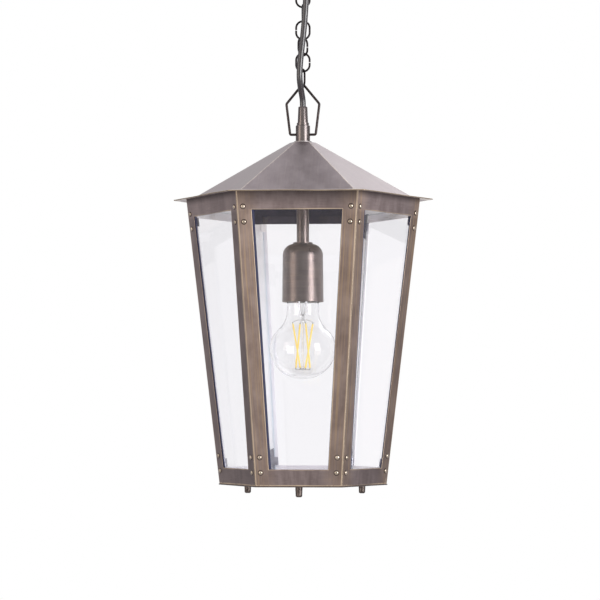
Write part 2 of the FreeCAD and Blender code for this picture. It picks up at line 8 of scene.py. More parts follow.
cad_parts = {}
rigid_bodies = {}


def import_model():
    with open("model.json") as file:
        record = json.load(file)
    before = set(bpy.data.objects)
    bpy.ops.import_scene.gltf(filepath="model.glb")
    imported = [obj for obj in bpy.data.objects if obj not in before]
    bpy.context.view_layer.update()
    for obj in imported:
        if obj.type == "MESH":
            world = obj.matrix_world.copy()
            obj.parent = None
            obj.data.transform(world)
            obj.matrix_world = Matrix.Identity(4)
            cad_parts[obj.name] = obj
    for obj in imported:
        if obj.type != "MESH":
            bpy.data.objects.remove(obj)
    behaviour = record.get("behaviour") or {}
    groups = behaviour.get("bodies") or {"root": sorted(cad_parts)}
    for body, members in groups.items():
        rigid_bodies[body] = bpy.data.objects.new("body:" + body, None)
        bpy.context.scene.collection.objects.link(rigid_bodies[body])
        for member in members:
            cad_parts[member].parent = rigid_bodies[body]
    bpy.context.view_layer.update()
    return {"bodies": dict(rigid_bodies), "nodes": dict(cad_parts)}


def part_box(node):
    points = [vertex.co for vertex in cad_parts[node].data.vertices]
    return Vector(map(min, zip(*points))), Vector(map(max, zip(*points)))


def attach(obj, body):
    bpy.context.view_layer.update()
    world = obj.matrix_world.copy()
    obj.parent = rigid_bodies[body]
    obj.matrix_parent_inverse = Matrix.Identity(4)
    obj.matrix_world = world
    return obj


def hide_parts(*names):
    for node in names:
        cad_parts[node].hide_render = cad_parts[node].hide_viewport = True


# The looks of a six-sided brass lantern on a chain, in metres, in the frame of its solids.
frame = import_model()
nodes = frame["nodes"]
scene = bpy.context.scene
scene.view_settings.view_transform = "Standard"

# Sides, counted from the front
sides = 6
back_side = 3
back_sides = range(back_side - 1, back_side + 2)
side_angle = math.radians(360 / sides)
mitre = math.tan(side_angle / 2)

# Sheets, seen from outside
sheet = 0.0012
stile = 0.015
top_rail = 0.0204
bottom_rail = 0.0174
bottom_lip = 0.015
seam = 0.00012
sheet_bevel = 0.0003
roof_bevel = 0.0005
brim_wave = 0.0010
brim_wave_scale = 18.0
panel_columns = 12
panel_rows = 5

# Places on the sheets, as their patina reads them
grain_turn = 0.008
edge_band = 0.0016
window_wear = 0.0004
side_shift = 0.2
side_step = 0.37
panel_step = 0.3
far_inset = 0.01

# Rounded edges
hairline_edge = 0.00012
pane_arris = 0.00015
fine_edge = 0.0002
turned_edge = 0.00025
soft_edge = 0.0003

# Angles in degrees: faces that meet at less are shaded as one, and edges that are sharper are rounded
usual_angle = 32.0
frame_angle = 25.0
roof_angle = 14.0
wire_angle = 40.0
round_angle = 50.0
bulb_angle = 60.0
bevel_angle = 30.0
roof_bevel_angle = 20.0

# Reading of the solids' meshes
merge_distance = 1e-6
flat_limit = 0.01
level_play = 1e-5
axis_play = 1e-7
pane_edge_share = 1 / 3

# Sealant beside the panes, darkened as painted shade along the windows' inner edges, and wider on the left
# than on the right, where that shade shows
sealant_shade_left = 0.0025
sealant_shade_right = 0.0004
sealant_shade_under = 0.0010
sealant_shade_depth = 0.0003

# Rivets, and the dark ring round them, tarnish and painted shade, with some radii as shares of the head's
rivet_radius = 0.0023
rivet_height = 0.0016
rivet_foot, rivet_waist = 0.86, 0.98
rivet_lift = 0.00012
rivet_brow = 0.0003
rivet_segments = 20
rivet_rings = 6
dark_ring_inner, dark_ring_outer = 0.9, 1.28
dark_ring_low, dark_ring_middle, dark_ring_high = 0.00001, 0.00004, 0.00006
dark_ring_fade = 0.0001

# Cable
flex_diameter = 0.0065
flex_segments = 20
links = 6
below_link = 0.0015
route_order = 3
route_steps = 10
bone_length = 0.01
flex_route = [
    (0.0, 0.0, -0.17585),
    (0.0, 0.0, -0.16985),
    (-0.0009, -0.0036, -0.16285),
    (-0.0022, -0.0102, -0.15435),
    (-0.0030, -0.0146, -0.14385),
    (-0.0018, -0.0152, -0.12585),
    (0.0004, -0.0144, -0.10785),
    (0.0024, -0.0139, -0.08785),
    (0.0038, -0.0142, -0.06785),
    (0.0048, -0.0150, -0.04985),
    (0.0050, -0.0152, -0.0305),
    (0.0050, -0.0152, -0.0183),
]

# Lacquer on the chain and the bail
wire_coat = 0.00008

# Bulb's sticks and the wires that carry them
filament_radius = 0.0009
stick_cap = 0.0016
cap_share = 0.5
stick_segments = 12
cap_segments = 10
lead_radius = 0.00022
lead_segments = 8
lead_steps = 8
lead_drop = 0.028
lead_rise = 0.002
bow_up, bow_down = 0.0012, -0.0008
side_lead_start, side_lead_waist = 0.55, 0.5
side_lead_drop = 0.014
side_lead_spread, side_lead_lift = 0.0012, 0.004

# Bulb's mount: shares of its foot's or rod's radius, and lengths down from its top or up from its tip
mount_foot = 0.0065
rod_radius = 0.0011
flare_wall = 0.0006
flare_depth = 0.024
flare_outline = [(1.0, 0.0), (0.86, 0.004), (0.74, 0.010), (0.70, 0.016), (0.46, 0.022)]
rod_outline = [(1.6, 0.027), (2.3, 0.029), (1.0, 0.032)]
tip_outline = [(1.0, 0.004), (1.5, 0.002), (0.9, 0.0004), (0.0, 0.0)]
mount_segments = 40

# Camera, from the vanishing of the lantern's sides and the height that they look level at
camera_azimuth = 3.3
camera_distance = 2.557
camera_height = -0.490
camera_pitch = 2.36
camera_lens = 142.7
camera_sensor = 36.0
camera_yaw = 0.07

# Floor, whose paint fades to white between two distances
floor_z = -2.2
floor_half = 14.0
floor_near = 3.0
floor_far = 10.0

# Light that metal mirrors, and the parts of a direction between which one gives way to the next
left_glow = (0.40, 0.392, 0.412)
right_glow = (0.44, 0.43, 0.45)
front_glow = (0.61, 0.59, 0.58)
overhead_glow = (0.85, 0.84, 0.86)
backdrop_glow = (0.78, 1.04)
dim_glow = 0.32
across_span = (-0.5, 0.5)
front_span = (-0.7, 0.1)
overhead_span = (0.45, 0.9)
backdrop_span = (0.6, 0.95)
backdrop_across = (-0.45, 0.05)
dim_span = (-0.35, 0.35)

# Heights between which the sheets' patina lightens, a painted shadow lies under the brim and the side rails
# are painted lighter
patina_low, patina_high = -0.58, -0.29
patina_gain = (0.96, 1.10)
brim_shade_low, brim_shade_thin, brim_shade_high = -0.292, -0.283, -0.2765
rail_foot, rail_start = -0.299, -0.295

# Dark streak on the roof below the collar, a painted reflection of the collar: half its width, and its ends
# in Y
collar_reflection_half, collar_reflection_end, collar_reflection_start = 0.008, -0.058, -0.014

# Parts of a sheet's normal, across for the sides that face left, which are kept in painted shade, and
# squared for the front and back ones, which get the deeper painted shadow under the brim
left_span = (-0.8, -0.6)
front_back_span = (0.35, 0.75)

# Noise on sheets: scales across and along the grain, the values between which it counts, and its weight
hair_scales = (2600, 30)
streak_scales = (420, 7)
cloud_scales = (46, 30)
speck_scales = (900, 700)
noise_span = (0.3, 0.7)
wide_span = (0.25, 0.75)
streak_span = (0.45, 0.75)
speck_span = (0.68, 0.8)
speck_weight = 0.4
speck_shade = 0.35
cloud_height = 0.6
fray = 0.4
worn_start = 0.2
worn_weight = 0.8

# Noise on turned metal, on wire, on moulded pieces and in glass
ring_scale = 6
ring_span = (0.45, 0.8)
ring_weight = 0.5
turned_cloud_scale = 70.0
pit_scale = 900.0
pit_span = (0.66, 0.78)
pit_weight = 0.4
pit_shade = 0.4
polish, dulling = 0.05, 0.07
wire_cloud_scale = 180.0
wire_dulling = 0.16
wire_edge_tint = (0.22, 0.20, 0.21)
scuff_scales = (700, 700, 240)
scuff_span = (0.56, 0.72)
scuff_weight = 0.7
plain_dulling = 0.12
glass_scales = (22, 22, 9)


# Node trees

def add(tree, kind, sockets=None, **settings):
    """A shader node with its settings, and its inputs set to values or linked to sockets."""
    node = tree.nodes.new(kind)
    for key, value in settings.items():
        setattr(node, key, value)
    for key, value in (sockets or {}).items():
        if isinstance(value, bpy.types.NodeSocket):
            tree.links.new(value, node.inputs[key])
        else:
            node.inputs[key].default_value = value
    return node


def new_material(name, **shader):
    """A material with a Principled shader, and that shader's plain inputs set."""
    material = bpy.data.materials.new(name)
    material.use_nodes = True
    tree = material.node_tree
    surface = tree.nodes["Principled BSDF"]
    for key, value in shader.items():
        surface.inputs[key.replace("_", " ")].default_value = value
    return material, tree, surface


def object_place(tree):
    return add(tree, "ShaderNodeTexCoord").outputs["Object"]


def parts(tree, vector):
    """A vector's X, Y and Z."""
    return add(tree, "ShaderNodeSeparateXYZ", {"Vector": vector}).outputs


def stretched(tree, vector, scale):
    return add(tree, "ShaderNodeMapping", {"Vector": vector, "Scale": scale}).outputs["Vector"]


def cloudy(tree, vector, scale=1.0, detail=3.0, roughness=0.55):
    sockets = {"Vector": vector, "Scale": scale, "Detail": detail, "Roughness": roughness}
    return add(tree, "ShaderNodeTexNoise", sockets).outputs["Fac"]


def remap(tree, value, low, high, to_low=0.0, to_high=1.0, smooth=True):
    sockets = {"Value": value, "From Min": low, "From Max": high, "To Min": to_low, "To Max": to_high}
    kind = "SMOOTHSTEP" if smooth else "LINEAR"
    return add(tree, "ShaderNodeMapRange", sockets, interpolation_type=kind).outputs["Result"]


def maths(tree, operation, a, b):
    return add(tree, "ShaderNodeMath", {0: a, 1: b}, operation=operation).outputs[0]


def mixed(tree, share, a, b, blend="MIX"):
    sockets = {0: share, 6: a, 7: b}
    return add(tree, "ShaderNodeMix", sockets, data_type="RGBA", blend_type=blend).outputs[2]


def shaded(tree, tone, by):
    """A colour multiplied by another or by a number."""
    return mixed(tree, 1.0, tone, by, "MULTIPLY")


def rgb(r, g, b):
    return (r, g, b, 1.0)


white = rgb(1.0, 1.0, 1.0)


def darker(colour, shade):
    return rgb(*[c * shade for c in colour])


def painted(tree, surface, tone, rough):
    """Gives a shader its colour and its roughness."""
    tree.links.new(tone, surface.inputs["Base Color"])
    tree.links.new(rough, surface.inputs["Roughness"])


def bumped(tree, surface, height, strength, distance):
    sockets = {"Height": height, "Strength": strength, "Distance": distance}
    bump = add(tree, "ShaderNodeBump", sockets)
    tree.links.new(bump.outputs["Normal"], surface.inputs["Normal"])


def blended(tree, share, first, second):
    """Shows a mix of two shaders on a material's surface."""
    blend = add(tree, "ShaderNodeMixShader", {0: share, 1: first.outputs[0], 2: second.outputs[0]})
    output = next(n for n in tree.nodes if n.type == "OUTPUT_MATERIAL")
    tree.links.new(blend.outputs[0], output.inputs["Surface"])


# Materials

def aged_sheet(
    name, dark, pale, warm, bare, warmth, contrast, edge_reach, gloss,
    stile_sheen=(1.0, 1.0, 1.0), brim_shade=(1.0, 1.0), side_rail_light=1.0, run=1.0, hand=(1.0, 1.0),
):
    """Brushed and aged brass sheet: streaks along the grain, cloudy patina and edges worn bare, with painted
    light and shade where its arguments ask: a sheen on the stiles, shade on the sides that face left, a
    shadow under the brim and a reflection below the collar.
    """
    material, tree, surface = new_material(name, Metallic=0.9)
    grain_uv = add(tree, "ShaderNodeUVMap", uv_map="grain").outputs["UV"]
    marks = parts(tree, add(tree, "ShaderNodeUVMap", uv_map="edge").outputs["UV"])
    place = parts(tree, object_place(tree))
    outward = parts(tree, add(tree, "ShaderNodeNewGeometry").outputs["Normal"])

    def along(scales, detail):
        """Streaks that run up the stiles, and turn to run along the rails."""
        upright = cloudy(tree, stretched(tree, grain_uv, (*scales, 1)), detail=detail)
        level = cloudy(tree, stretched(tree, grain_uv, (*scales[::-1], 1)), detail=detail)
        sockets = {0: marks["Y"], 2: upright, 3: level}
        return add(tree, "ShaderNodeMix", sockets, data_type="FLOAT").outputs[0]

    hairs = along(hair_scales, 2.0)
    streaks = along(streak_scales, 3.0)
    clouds = cloudy(tree, stretched(tree, grain_uv, (*cloud_scales, 1)), detail=5.0, roughness=0.6)
    specks = cloudy(tree, stretched(tree, grain_uv, (*speck_scales, 1)), detail=2.0)

    # Patina, warmer on the stiles, where a painted sheen also lightens them, except on the sides that face
    # left, which stay dull as painted shade
    tone = mixed(tree, remap(tree, clouds, *noise_span), rgb(*dark), rgb(*pale))
    lit_sides = remap(tree, outward["X"], *left_span)
    upright = maths(tree, "MULTIPLY", maths(tree, "SUBTRACT", 1.0, marks["Y"]), lit_sides)
    warm_share = maths(tree, "MULTIPLY", remap(tree, streaks, *streak_span, 0.0, warmth), upright)
    tone = mixed(tree, warm_share, tone, rgb(*warm))
    tone = mixed(tree, upright, tone, shaded(tree, tone, rgb(*stile_sheen)))
    tone = shaded(tree, tone, remap(tree, hairs, *wide_span, 1.0 - contrast, 1.0 + contrast))
    tone = shaded(tree, tone, remap(tree, place["Z"], patina_low, patina_high, *patina_gain))
    tone = shaded(tree, tone, remap(tree, parts(tree, grain_uv)["X"], 0.0, side_shift, *hand))

    # Painted shadow under the brim, deep on the front and back and thin on the other sides, whose top rails
    # are painted lighter below it
    deep = remap(tree, place["Z"], brim_shade_low, brim_shade_high, *brim_shade, smooth=False)
    thin = remap(tree, place["Z"], brim_shade_thin, brim_shade_high, 1.0, brim_shade[1], smooth=False)
    thin = maths(tree, "MULTIPLY", thin, remap(tree, place["Z"], rail_foot, rail_start, 1.0, side_rail_light))
    facing = remap(tree, maths(tree, "MULTIPLY", outward["Y"], outward["Y"]), *front_back_span)
    tone = shaded(tree, tone, mixed(tree, facing, thin, deep))

    # Dark streak below the collar as a painted reflection, then specks, and edges worn bare
    beside = remap(tree, maths(tree, "ABSOLUTE", place["X"], 0.0), 0.0, collar_reflection_half, 1.0, 0.0)
    collar_reflection = maths(tree, "MULTIPLY", beside, remap(tree, place["Y"], collar_reflection_end, collar_reflection_start))
    tone = mixed(tree, collar_reflection, tone, shaded(tree, tone, rgb(run, run, run)))
    tone = mixed(tree, remap(tree, specks, *speck_span, 0.0, speck_weight), tone, darker(dark, speck_shade))
    frayed = remap(tree, streaks, *noise_span, -fray * edge_reach, fray * edge_reach)
    from_edge = maths(tree, "ADD", marks["X"], frayed)
    worn = remap(tree, from_edge, worn_start * edge_reach, edge_reach, worn_weight, 0.0)
    tone = mixed(tree, worn, tone, rgb(*bare))

    painted(tree, surface, tone, remap(tree, clouds, *wide_span, *gloss))
    height = maths(tree, "ADD", hairs, maths(tree, "MULTIPLY", clouds, cloud_height))
    bumped(tree, surface, height, strength=0.35, distance=0.00006)
    return material


def turned_metal(name, dark, pale, warm, roughness, lines=1500.0, metallic=1.0, pits=0.15):
    """Turned and aged metal: fine lines round the axis over a cloudy patina."""
    material, tree, surface = new_material(name, Metallic=metallic)
    place = object_place(tree)
    rings = cloudy(tree, stretched(tree, place, (ring_scale, ring_scale, lines)), detail=2.0)
    clouds = cloudy(tree, place, turned_cloud_scale, detail=5.0, roughness=0.62)
    specks = cloudy(tree, place, pit_scale, detail=2.0)
    tone = mixed(tree, remap(tree, clouds, *noise_span), rgb(*dark), rgb(*pale))
    tone = mixed(tree, remap(tree, rings, *ring_span, 0.0, ring_weight), tone, rgb(*warm))
    tone = mixed(tree, remap(tree, specks, *pit_span, 0.0, pit_weight), tone, darker(dark, pit_shade))
    painted(tree, surface, tone, remap(tree, clouds, *wide_span, roughness - polish, roughness + dulling))
    bumped(tree, surface, clouds, strength=pits, distance=0.00004)
    return material


def wire_metal(name, dark, pale, rub, roughness):
    """Dark bronze wire, scuffed here and there down to lighter metal."""
    material, tree, surface = new_material(name, Metallic=0.85, Specular_Tint=rgb(*wire_edge_tint))
    place = object_place(tree)
    clouds = cloudy(tree, place, wire_cloud_scale, detail=4.0, roughness=0.6)
    scuffs = cloudy(tree, stretched(tree, place, scuff_scales), detail=4.0, roughness=0.7)
    tone = mixed(tree, remap(tree, clouds, *noise_span), rgb(*dark), rgb(*pale))
    tone = mixed(tree, remap(tree, scuffs, *scuff_span, 0.0, scuff_weight), tone, rgb(*rub))
    painted(tree, surface, tone, remap(tree, clouds, *noise_span, roughness, roughness + wire_dulling))
    bumped(tree, surface, maths(tree, "ADD", clouds, scuffs), strength=0.3, distance=0.00008)
    return material


def plain_material(name, dark, pale, roughness, scale=300.0, depth=0.00003, **shader):
    """A moulded or coated surface with a slight mottle and a fine texture."""
    material, tree, surface = new_material(name, **shader)
    mottle = cloudy(tree, object_place(tree), scale, detail=4.0)
    tone = mixed(tree, mottle, rgb(*dark), rgb(*pale))
    painted(tree, surface, tone, remap(tree, mottle, *noise_span, roughness, roughness + plain_dulling))
    bumped(tree, surface, mottle, strength=0.3, distance=depth)
    return material


def clear_glass(name, tint, waviness):
    """Clear glass with a faint wave in its surface, through which lamps still light what is behind."""
    material, tree, surface = new_material(
        name, Base_Color=rgb(*tint), Roughness=0.0, Transmission_Weight=1.0, IOR=1.45
    )
    wave = cloudy(tree, stretched(tree, object_place(tree), glass_scales), detail=2.0)
    bumped(tree, surface, wave, strength=0.5, distance=waviness)
    path = add(tree, "ShaderNodeLightPath").outputs
    through = maths(tree, "MAXIMUM", path["Is Shadow Ray"], path["Is Diffuse Ray"])
    film = add(tree, "ShaderNodeBsdfTransparent", {"Color": rgb(*tint)})
    blended(tree, through, surface, film)
    return material


# The frame's stile sheen, its painted shadow under the brim and its lighter side rails are painted light and
# shade
brass_frame = aged_sheet(
    "brass_frame",
    dark=(0.205, 0.160, 0.156),
    pale=(0.285, 0.230, 0.225),
    warm=(0.400, 0.290, 0.195),
    bare=(0.82, 0.65, 0.47),
    warmth=0.75,
    contrast=0.12,
    edge_reach=0.0015,
    gloss=(0.34, 0.50),
    stile_sheen=(1.12, 1.075, 0.97),
    brim_shade=(1.10, 0.46),
    side_rail_light=1.30,
    hand=(1.10, 0.92),
)
# The roof's dark run below the collar (run) is a painted reflection of the collar
brass_roof = aged_sheet(
    "brass_roof",
    dark=(0.305, 0.260, 0.271),
    pale=(0.390, 0.341, 0.355),
    warm=(0.430, 0.372, 0.360),
    bare=(0.72, 0.645, 0.585),
    warmth=0.3,
    contrast=0.05,
    edge_reach=0.0014,
    gloss=(0.34, 0.48),
    run=0.74,
)
bare_edge = turned_metal(
    "bare_edge", (0.34, 0.26, 0.18), (0.50, 0.39, 0.27), (0.56, 0.44, 0.31), roughness=0.34
)
# Dark navy where the inside lies in shade, on the back top rail, the top brackets and the front windows'
# edges: painted shade
inner_shade = turned_metal(
    "inner_shade", (0.035, 0.031, 0.055), (0.065, 0.057, 0.093), (0.075, 0.066, 0.095),
    roughness=0.5, lines=60.0, metallic=0.6,
)
inner_pale = turned_metal(
    "inner_pale", (0.92, 0.91, 0.92), (0.97, 0.96, 0.97), (0.97, 0.95, 0.95),
    roughness=0.5, lines=60.0, metallic=0.0,
)
inner_roof = turned_metal(
    "inner_roof", (0.50, 0.41, 0.32), (0.64, 0.53, 0.42), (0.68, 0.55, 0.41),
    roughness=0.45, lines=60.0, metallic=0.6,
)
bracket_metal = turned_metal(
    "bracket_metal", (0.30, 0.30, 0.35), (0.44, 0.44, 0.50), (0.48, 0.47, 0.50),
    roughness=0.42, lines=200.0, metallic=0.6,
)
# Dark ring round each rivet: tarnish, and painted shade at the head's foot
tarnish_and_shade = turned_metal(
    "tarnish_and_shade", (0.050, 0.040, 0.038), (0.085, 0.068, 0.062), (0.10, 0.08, 0.07),
    roughness=0.45, lines=300.0, metallic=0.7,
)
rivet_brass = turned_metal(
    "rivet_brass", (0.40, 0.33, 0.26), (0.68, 0.58, 0.48), (0.76, 0.66, 0.54), roughness=0.20, lines=300.0
)
turned_brass = turned_metal(
    "turned_brass", (0.134, 0.106, 0.100), (0.183, 0.148, 0.138), (0.27, 0.212, 0.166),
    roughness=0.31, lines=700.0, metallic=0.88,
)
collar_brass = turned_metal(
    "collar_brass", (0.150, 0.127, 0.125), (0.205, 0.178, 0.175), (0.26, 0.218, 0.200),
    roughness=0.25, lines=60.0, metallic=0.9, pits=0.02,
)
washer_metal = turned_metal(
    "washer_metal", (0.36, 0.33, 0.33), (0.46, 0.43, 0.43), (0.50, 0.46, 0.44),
    roughness=0.48, lines=60.0, metallic=0.9,
)
dark_wire = wire_metal("dark_wire", (0.016, 0.013, 0.015), (0.040, 0.033, 0.035), (0.13, 0.105, 0.10), 0.28)
bail_wire = wire_metal("bail_wire", (0.032, 0.026, 0.027), (0.072, 0.058, 0.057), (0.24, 0.19, 0.16), 0.24)
foot_metal = wire_metal("foot_metal", (0.075, 0.060, 0.056), (0.200, 0.165, 0.150), (0.55, 0.47, 0.41), 0.26)
pane_glass = clear_glass("pane_glass", (0.985, 0.980, 0.995), waviness=0.00008)
pane_edge = clear_glass("pane_edge", (0.50, 0.66, 0.74), waviness=0.0)
bulb_clear = clear_glass("bulb_clear", (0.985, 0.985, 0.985), waviness=0.0)
# The sticks glow faintly though the bulb is off: painted light that keeps them yellow in shade
filament_coat = plain_material(
    "filament_coat", (0.95, 0.66, 0.10), (0.98, 0.76, 0.20), 0.5, 900.0,
    Emission_Color=rgb(1.0, 0.80, 0.18), Emission_Strength=0.10,
)
lead_metal = plain_material("lead_metal", (0.20, 0.19, 0.18), (0.34, 0.32, 0.30), 0.3, 900.0, Metallic=1.0)
cable_sheath = plain_material(
    "cable_sheath", (0.012, 0.009, 0.012), (0.022, 0.018, 0.022), 0.22, 400.0, 0.000002, IOR=1.9
)
# Dark navy bead beside the front panes: sealant, with the shade along the windows' inner edges painted into
# it
sealant_shade = plain_material("sealant_shade", (0.020, 0.022, 0.060), (0.045, 0.048, 0.100), 0.35)
rubber = plain_material("rubber", (0.020, 0.020, 0.020), (0.035, 0.034, 0.033), 0.6, 500.0)
porcelain = plain_material("porcelain", (0.70, 0.67, 0.61), (0.80, 0.78, 0.72), 0.18, 120.0)
cap_metal = plain_material("cap_metal", (0.55, 0.54, 0.52), (0.72, 0.71, 0.69), 0.28, Metallic=1.0)


# Pieces and meshes

def turn(k):
    """The turn that carries the front side to side k."""
    return Matrix.Rotation(side_angle * k, 4, "Z")


def new_object(name, mesh, materials, replaced, body="lantern"):
    """A piece that rides on a body, in place of the nodes that it replaces."""
    piece = bpy.data.objects.new(name, mesh)
    scene.collection.objects.link(piece)
    for material in materials:
        mesh.materials.append(material)
    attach(piece, body)
    if replaced:
        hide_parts(*replaced)
    return piece


def shade(mesh, angle=usual_angle):
    """Smooth faces that meet at less than an angle."""
    mesh.polygons.foreach_set("use_smooth", [True] * len(mesh.polygons))
    mesh.set_sharp_from_angle(angle=math.radians(angle))
    mesh.update()


def bevel(piece, width, segments=2, slot=-1, angle=bevel_angle):
    modifier = piece.modifiers.new("bevel", "BEVEL")
    modifier.width = width
    modifier.segments = segments
    modifier.limit_method = "ANGLE"
    modifier.angle_limit = math.radians(angle)
    modifier.material = slot
    modifier.use_clamp_overlap = True
    modifier.harden_normals = True


def cleaned(node):
    """A copy of a solid's mesh, and that mesh to work on, welded and with its flat faces whole."""
    mesh = nodes[node].data.copy()
    mesh.name = node + "_made"
    mesh.materials.clear()
    work = bmesh.new()
    work.from_mesh(mesh)
    bmesh.ops.remove_doubles(work, verts=work.verts, dist=merge_distance)
    bmesh.ops.dissolve_limit(work, angle_limit=flat_limit, verts=work.verts, edges=work.edges)
    return mesh, work


def dressed(node, material, width=fine_edge, angle=usual_angle, coat=0.0, body="lantern"):
    """A clean copy of a solid with its edges rounded, or with a coat all over."""
    mesh, work = cleaned(node)
    bmesh.ops.recalc_face_normals(work, faces=work.faces)
    if coat:
        work.normal_update()
        for vert, normal in [(v, v.normal.copy()) for v in work.verts]:
            vert.co += normal * coat
    work.to_mesh(mesh)
    work.free()
    shade(mesh, angle)
    piece = new_object(node + "_made", mesh, [material], [node], body)
    if width:
        bevel(piece, width, angle=angle)
    return piece


def swept(points, radius, segments):
    """A tube along points, as vertices and faces, with its rings carried along without twist."""
    verts, faces = [], []
    tangents = [(b - a).normalized() for a, b in zip(points, points[1:])]
    between = [(a + b).normalized() for a, b in zip(tangents, tangents[1:])]
    tangents = [tangents[0]] + between + [tangents[-1]]
    across = tangents[0].orthogonal().normalized()
    for k, (point, along) in enumerate(zip(points, tangents)):
        across = (across - along * across.dot(along)).normalized()
        third = along.cross(across)
        for s in range(segments):
            a = 2 * math.pi * s / segments
            verts.append(point + (across * math.cos(a) + third * math.sin(a)) * radius)
        if k:
            base = (k - 1) * segments
            for s in range(segments):
                n = (s + 1) % segments
                faces.append((base + s, base + n, base + segments + n, base + segments + s))
    faces.append(tuple(range(segments))[::-1])
    faces.append(tuple(range(len(verts) - segments, len(verts))))
    return verts, faces


def lathe(profile, segments):
    """A surface turned about the Z axis from (radius, height) points, closed where the radius is 0."""
    verts, faces, rings = [], [], []
    for r, z in profile:
        if r < axis_play:
            rings.append([len(verts)])
            verts.append(Vector((0, 0, z)))
        else:
            rings.append(list(range(len(verts), len(verts) + segments)))
            for s in range(segments):
                a = 2 * math.pi * s / segments
                verts.append(Vector((r * math.cos(a), r * math.sin(a), z)))
    for low, high in zip(rings, rings[1:]):
        for s in range(segments):
            n = (s + 1) % segments
            corners = [low[s % len(low)], low[n % len(low)], high[n % len(high)], high[s % len(high)]]
            face = list(dict.fromkeys(corners))
            if len(face) > 2:
                faces.append(tuple(face))
    return verts, faces


def joined(chunks):
    """One list of vertices and faces from several."""
    verts, faces = [], []
    for more_verts, more_faces in chunks:
        base = len(verts)
        verts += more_verts
        faces += [tuple(i + base for i in face) for face in more_faces]
    return verts, faces


def mesh_of(name, verts, faces, angle=usual_angle):
    mesh = bpy.data.meshes.new(name)
    mesh.from_pydata([tuple(v) for v in verts], [], faces)
    shade(mesh, angle)
    return mesh


def two_part(node, first, second, materials):
    """A piece of the lantern in place of a node, from two sets of chunks with a material each."""
    mesh = mesh_of(node + "_made", *joined(first + second), round_angle)
    new_object(node + "_made", mesh, materials, [node])
    first_faces = len(joined(first)[1])
    for face in mesh.polygons:
        face.material_index = 0 if face.index < first_faces else 1


def islands(node):
    """The vertices of each separate solid in a node."""
    work = bmesh.new()
    work.from_mesh(nodes[node].data)
    bmesh.ops.remove_doubles(work, verts=work.verts, dist=merge_distance)
    left = set(work.verts)
    groups = []
    while left:
        queue = [left.pop()]
        group = []
        while queue:
            vert = queue.pop()
            group.append(vert.co.copy())
            for e in vert.link_edges:
                other = e.other_vert(vert)
                if other in left:
                    left.remove(other)
                    queue.append(other)
        groups.append(group)
    work.free()
    return groups


# Sheets: faces that carry their place in the grain, their distance from an edge and their share of a rail

unmarked = [(0.0, 0.0, 0.0, 0.0)] * 4


def sheet_work():
    work = bmesh.new()
    for layer in ("grain", "edge"):
        work.loops.layers.uv.new(layer)
    return work


def sheet_quad(work, corners, slot, marks):
    grain, edge = (work.loops.layers.uv[layer] for layer in ("grain", "edge"))
    face = work.faces.new(corners)
    face.material_index = slot
    for loop, (across, along, distance, share) in zip(face.loops, marks):
        loop[grain].uv = (across, along)
        loop[edge].uv = (distance, share)


def sheet_piece(work, node, materials, angle):
    """The finished sheet, as a piece of the lantern in place of a node."""
    mesh = bpy.data.meshes.new(node + "_made")
    work.to_mesh(mesh)
    work.free()
    shade(mesh, angle)
    return new_object(node + "_made", mesh, materials, [node])


# The front side's outline, read from its solid

front = [v.co for v in nodes["side_frame_1"].data.vertices]
body_low = min(v.z for v in front)
bottom_flat = max(-v.y for v in front if v.z < body_low + level_play)
top_corner = min(front, key=lambda v: (round(v.y, 6), -v.z))
top_flat, body_high = -top_corner.y, top_corner.z
lip_corner = max(front, key=lambda v: (round(v.z, 6), v.y))
lip_flat, lip_high = -lip_corner.y, lip_corner.z
face_length = math.hypot(top_flat - bottom_flat, body_high - body_low)
slope = Vector((top_flat - bottom_flat, body_high - body_low)) / face_length


def up_the_slope(v):
    """(distance from the axis, height) at a distance up the front side."""
    return Vector((bottom_flat, body_low)) + slope * v


def inset_path(path, depth):
    """A bent line moved to its left by a depth, with its corners mitred."""
    moved = []
    for k, here in enumerate(path):
        nearby = path[max(k - 1, 0):k + 2]
        runs = [(b - a).normalized() for a, b in zip(nearby, nearby[1:])]
        normals = [Vector((-d.y, d.x)) for d in runs]
        middle = sum(normals, Vector((0, 0))).normalized()
        moved.append(here + middle * depth / middle.dot(normals[0]))
    return moved


